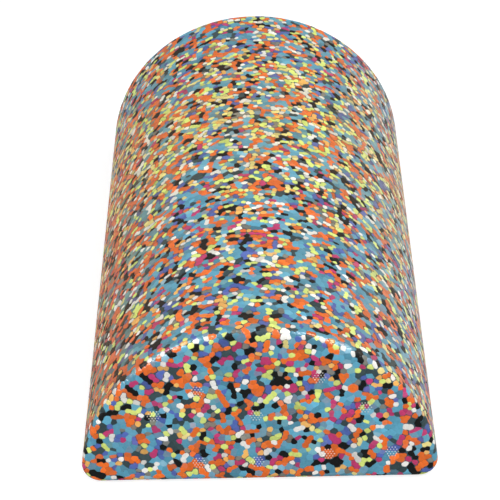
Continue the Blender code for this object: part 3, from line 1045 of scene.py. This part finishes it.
# %% Material of one bead colour
# Painted shade: how much the colour darkens at the weld line.
RIM_SHADE = 0.12
SHADE_SPREAD = 0.12
MARBLE = {"scale": 900.0, "detail": 3.0}
MARBLE_SPREAD = 0.18
NUB_TONE = (1.0, 0.98, 0.9, 1.0)
NUB_PALENESS = 0.42
FOAM_SPECULAR = 0.05
FOAM_ROUGHNESS = 0.60
ROUGHNESS_SPREAD = 0.14
COAT_IOR = 1.8
SKIN_GLOSS = 0.19
DARK_GLOSS = 0.03
SKIN_ROUGHNESS = 0.20
GRAIN = {"scale": 2600.0, "detail": 2.0}
GRAIN_STRENGTH = 0.35
GRAIN_DEPTH = 0.05 * MM
PEBBLES = {"scale": 1000.0, "detail": 1.0}
PEBBLE_STRENGTH = 1.0
PEBBLE_DEPTH = 0.10 * MM


def attribute(nodes, name, output="Fac"):
    """Output of a value stored on the mesh."""
    node = nodes.new("ShaderNodeAttribute")
    node.attribute_name = name
    return node.outputs[output]


def noise(nodes, links, scale, detail):
    """Output of a noise in the block's own space."""
    node = nodes.new("ShaderNodeTexNoise")
    node.inputs["Scale"].default_value = scale
    node.inputs["Detail"].default_value = detail
    links.new(nodes.new("ShaderNodeTexCoord").outputs["Object"], node.inputs["Vector"])
    return node.outputs["Fac"]


def blend(nodes, links, share, first, second):
    """Output between two colours, by a share; each colour is an output or a value."""
    node = nodes.new("ShaderNodeMix")
    node.data_type = "RGBA"
    links.new(share, node.inputs["Factor"])
    for socket, value in zip(("A", "B"), (first, second)):
        if isinstance(value, tuple):
            node.inputs[socket].default_value = value
        else:
            links.new(value, node.inputs[socket])
    return node.outputs["Result"]


def bumps(nodes, links, height, strength, depth):
    """Output of a surface direction that a noise makes uneven."""
    node = nodes.new("ShaderNodeBump")
    node.inputs["Strength"].default_value = strength
    node.inputs["Distance"].default_value = depth
    links.new(height, node.inputs["Height"])
    return node.outputs["Normal"]


def foam_finish(name, colour):
    """Satin foam skin in one colour."""
    material = bpy.data.materials.new("foam_" + name)
    nodes, links = node_tree(material)
    shader = nodes["Principled BSDF"]
    shader.inputs["Specular IOR Level"].default_value = FOAM_SPECULAR
    shader.inputs["Coat Weight"].default_value = DARK_GLOSS if name in DARK_NAMES else SKIN_GLOSS
    shader.inputs["Coat IOR"].default_value = COAT_IOR

    marble = noise(nodes, links, **MARBLE)
    shade = math_node(nodes, links, "MULTIPLY", attribute(nodes, "shade"), SHADE_SPREAD)
    veins = math_node(nodes, links, "SUBTRACT", marble, 0.5)
    veins = math_node(nodes, links, "MULTIPLY", veins, 2 * MARBLE_SPREAD)
    # Painted shade: the colour darkens towards the weld line.
    rim = math_node(nodes, links, "MULTIPLY", attribute(nodes, "rim"), RIM_SHADE)
    level = math_node(nodes, links, "ADD", shade, veins)
    level = math_node(nodes, links, "ADD", level, 1.0)
    level = math_node(nodes, links, "SUBTRACT", level, rim)

    through = attribute(nodes, "trace_tone", "Color")
    mixed = blend(nodes, links, attribute(nodes, "trace"), (*colour, 1.0), through)
    tone = nodes.new("ShaderNodeVectorMath")
    tone.operation = "SCALE"
    links.new(mixed, tone.inputs[0])
    links.new(level, tone.inputs["Scale"])
    paleness = math_node(nodes, links, "MULTIPLY", attribute(nodes, "nub"), NUB_PALENESS)
    pale = blend(nodes, links, paleness, tone.outputs["Vector"], NUB_TONE)
    links.new(pale, shader.inputs["Base Color"])

    uneven = math_node(nodes, links, "MULTIPLY", marble, ROUGHNESS_SPREAD)
    satin = math_node(nodes, links, "ADD", uneven, FOAM_ROUGHNESS - ROUGHNESS_SPREAD / 2)
    links.new(satin, shader.inputs["Roughness"])
    gloss = math_node(nodes, links, "ADD", uneven, SKIN_ROUGHNESS - ROUGHNESS_SPREAD / 2)
    links.new(gloss, shader.inputs["Coat Roughness"])

    grain = bumps(nodes, links, noise(nodes, links, **GRAIN), GRAIN_STRENGTH, GRAIN_DEPTH)
    links.new(grain, shader.inputs["Normal"])
    pebbles = bumps(nodes, links, noise(nodes, links, **PEBBLES), PEBBLE_STRENGTH, PEBBLE_DEPTH)
    links.new(pebbles, shader.inputs["Coat Normal"])
    return material


finishes = {name: foam_finish(name, row[4]) for name, row in MIX.items()}
print(len(finishes), "foam finishes")

# %% [markdown]
# ## Pieces
#
# The beads are put together into one piece for each colour and section of the block, small enough
# to export whole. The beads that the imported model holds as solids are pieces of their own, and
# each replaces its solid.
#
# Each piece also gets a flat map for later baking, with one square for each bead: the rings of the
# bead lie on it as circles. Blender could unwrap the pieces itself, but with thousands of tiny
# islands that is slow and most of the map would be margin.

# %% Squares of the flat map
MAP_REACH = 0.45
BELLY_SHARE = 1.1
NUB_SHARES = (1.0, 0.75, 0.4, 0.0)
NUB_BASE_SHARE = 0.08
NUB_BASE_SHIFT = 0.42


def round_place(share, side, sides):
    """Place in a square of the map: a share of the reach, in the direction of a side."""
    angle = 2 * math.pi * side / sides
    return 0.5 + MAP_REACH * share * math.cos(angle), 0.5 + MAP_REACH * share * math.sin(angle)


def bead_map():
    """Place of each face corner of a bead in its square; the hidden belly lies outside the rim."""
    places = []
    for face in BEAD_FACES:
        for corner in face:
            ring_index, side = divmod(corner - 1, SIDES)
            if corner == 0:
                places.append((0.5, 0.5))
            elif ring_index == len(RINGS):
                places.append(round_place(BELLY_SHARE, (face[0] - 1) % SIDES + 0.5, SIDES))
            else:
                places.append(round_place(RINGS[ring_index][0], side, SIDES))
    return np.array(places)


def nub_map():
    """The same for a nub; its hidden base lies small in a corner of the square."""
    places = []
    for face in NUB_FACES:
        for corner in face:
            ring_index, side = divmod(corner, NUB_SIDES)
            if len(face) == NUB_SIDES:
                across, up = round_place(NUB_BASE_SHARE, side, NUB_SIDES)
                places.append((across + NUB_BASE_SHIFT, up + NUB_BASE_SHIFT))
            else:
                places.append(round_place(NUB_SHARES[ring_index], side, NUB_SIDES))
    return np.array(places)


BEAD_MAP = bead_map()
NUB_MAP = nub_map()
print("face corners of a bead:", len(BEAD_MAP), "and of a nub:", len(NUB_MAP))

# %% Build one piece from a list of beads and nubs
SHARP_ANGLE = math.radians(58.0)


def repeated_faces(pattern, size, number, first):
    """The faces of one bead or nub, repeated for each one of a piece."""
    faces = []
    for index in range(number):
        shift = first + index * size
        faces.extend([tuple(corner + shift for corner in face) for face in pattern])
    return faces


def lay_map(mesh, bead_number, nub_number):
    """Give the mesh its flat map, a square grid with one bead or nub in each square."""
    squares = bead_number + nub_number
    width = math.ceil(math.sqrt(squares))
    origins = np.stack(np.divmod(np.arange(squares), width), axis=1)[:, None]
    beads = (origins[:bead_number] + BEAD_MAP).reshape(-1, 2)
    tips = (origins[bead_number:] + NUB_MAP).reshape(-1, 2)
    places = np.concatenate([beads, tips]) / width
    layer = mesh.uv_layers.new(name="OFBake")
    layer.uv.foreach_set("vector", places.astype(np.float32).ravel())


def add_piece(name, colour, beads, nub_indexes=()):
    """One piece of the mosaic: its beads, and the nubs that stand on them."""
    nub_indexes = np.array(nub_indexes, int)
    size = bead_corners.shape[1]
    nub_size = NUB_SIDES * len(NUB_RINGS) + 1
    bead_vertices = len(beads) * size
    nub_vertices = len(nub_indexes) * nub_size
    below = nub_bead[nub_indexes]
    corners = [bead_corners[beads].reshape(-1, 3)]
    corners += [np.array(nub_corners(nubs[index])) for index in nub_indexes]
    faces = repeated_faces(BEAD_FACES, size, len(beads), 0)
    faces += repeated_faces(NUB_FACES, nub_size, len(nub_indexes), bead_vertices)
    values = {
        "shade": np.concatenate([shade_of[beads].repeat(size), shade_of[below].repeat(nub_size)]),
        "rim": np.concatenate([rim_shade_share[beads].ravel(), np.zeros(nub_vertices)]),
        "nub": np.concatenate([np.zeros(bead_vertices), np.ones(nub_vertices)]),
        "trace": np.concatenate([trace_share[beads].ravel(), np.zeros(nub_vertices)]),
    }
    mesh = bpy.data.meshes.new(name)
    mesh.from_pydata(np.concatenate(corners).tolist(), [], faces)
    for label, numbers in values.items():
        layer = mesh.attributes.new(label, "FLOAT", "POINT")
        layer.data.foreach_set("value", numbers.astype(np.float32))
    tones = np.concatenate([trace_tone[beads].reshape(-1, 3), np.zeros((nub_vertices, 3))])
    layer = mesh.attributes.new("trace_tone", "FLOAT_VECTOR", "POINT")
    layer.data.foreach_set("vector", tones.astype(np.float32).ravel())
    lay_map(mesh, len(beads), len(nub_indexes))
    mesh.shade_smooth()
    mesh.set_sharp_from_angle(angle=SHARP_ANGLE)
    mesh.materials.append(finishes[colour])
    piece = add_object(name, mesh)
    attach(piece, "root")
    return piece


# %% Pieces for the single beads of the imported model
in_node = np.zeros(count, bool)
for group, name in enumerate(bead_nodes):
    beads = np.flatnonzero(group_of == group)
    in_node[beads] = True
    piece = add_piece(name + "_skin", name.split("_")[0], beads)
    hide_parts(name)
print(int(in_node.sum()), "cells in", len(bead_nodes), "single beads")

# %% Pieces for all other beads, by colour and section of the block
SECTIONS = {"teal": 7, "orange": 3}


def section_of(number):
    """Which of a number of equal sections along the block each bead lies in."""
    share = (middle[:, 1] + HALF_LENGTH) / (2 * HALF_LENGTH)
    return np.clip((share * number).astype(int), 0, number - 1)


for code, colour in enumerate(COLOURS):
    number = SECTIONS.get(colour, 1)
    section = section_of(number)
    for part in range(number):
        chosen = (colour_of == code) & (section == part) & ~in_node
        beads = np.flatnonzero(chosen)
        nub_indexes = np.flatnonzero(chosen[nub_bead])
        name = f"{colour}_beads" if number == 1 else f"{colour}_beads_{part + 1}"
        piece = add_piece(name, colour, beads, nub_indexes)
        print(name, len(beads), "beads,", len(piece.data.polygons), "faces")

# %% [markdown]
# ## Core
#
# Behind the weld lines lies more foam, never seen in full light. A slightly smaller block in a
# dark tone closes the view between the beads. It is made by pulling the grid of a box onto the
# skin, a little under half a millimetre in, and it stands for the moulded body of the packed
# model.

# %% Dark core behind the weld lines
CORE_DEPTH = 0.42 * MM
CORE_CUTS = 60
CORE_TONES = ((0.030, 0.080, 0.105, 1.0), (0.060, 0.170, 0.230, 1.0))
CORE_ROUGHNESS = 0.8
CORE_MOTTLE = {"scale": 700.0, "detail": 2.0}


def core_finish():
    """Foam in shadow: dark, with a faint mottle."""
    material = bpy.data.materials.new("foam_in_shadow")
    nodes, links = node_tree(material)
    shader = nodes["Principled BSDF"]
    shader.inputs["Roughness"].default_value = CORE_ROUGHNESS
    tone = blend(nodes, links, noise(nodes, links, **CORE_MOTTLE), *CORE_TONES)
    links.new(tone, shader.inputs["Base Color"])
    return material


def add_core():
    """The block drawn in by the core's depth."""
    shape = bmesh.new()
    bmesh.ops.create_cube(shape, size=2.0)
    bmesh.ops.subdivide_edges(shape, edges=shape.edges, cuts=CORE_CUTS, use_grid_fill=True)
    corners = np.array([vertex.co for vertex in shape.verts])
    half = np.array([cad_box[1].x, HALF_LENGTH, HEIGHT / 2]) + MM
    corners = corners * half + np.array([0.0, 0.0, HEIGHT / 2])
    sunk, _outside = on_skin(corners, np.full(len(corners), -CORE_DEPTH))
    for vertex, place in zip(shape.verts, sunk):
        vertex.co = place
    mesh = bpy.data.meshes.new("foam_core")
    shape.to_mesh(mesh)
    shape.free()
    mesh.shade_smooth()
    mesh.materials.append(core_finish())
    core = add_object("foam_core", mesh)
    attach(core, "root")
    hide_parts("foam_body")
    return core


core = add_core()
print("core has", len(core.data.polygons), "faces")
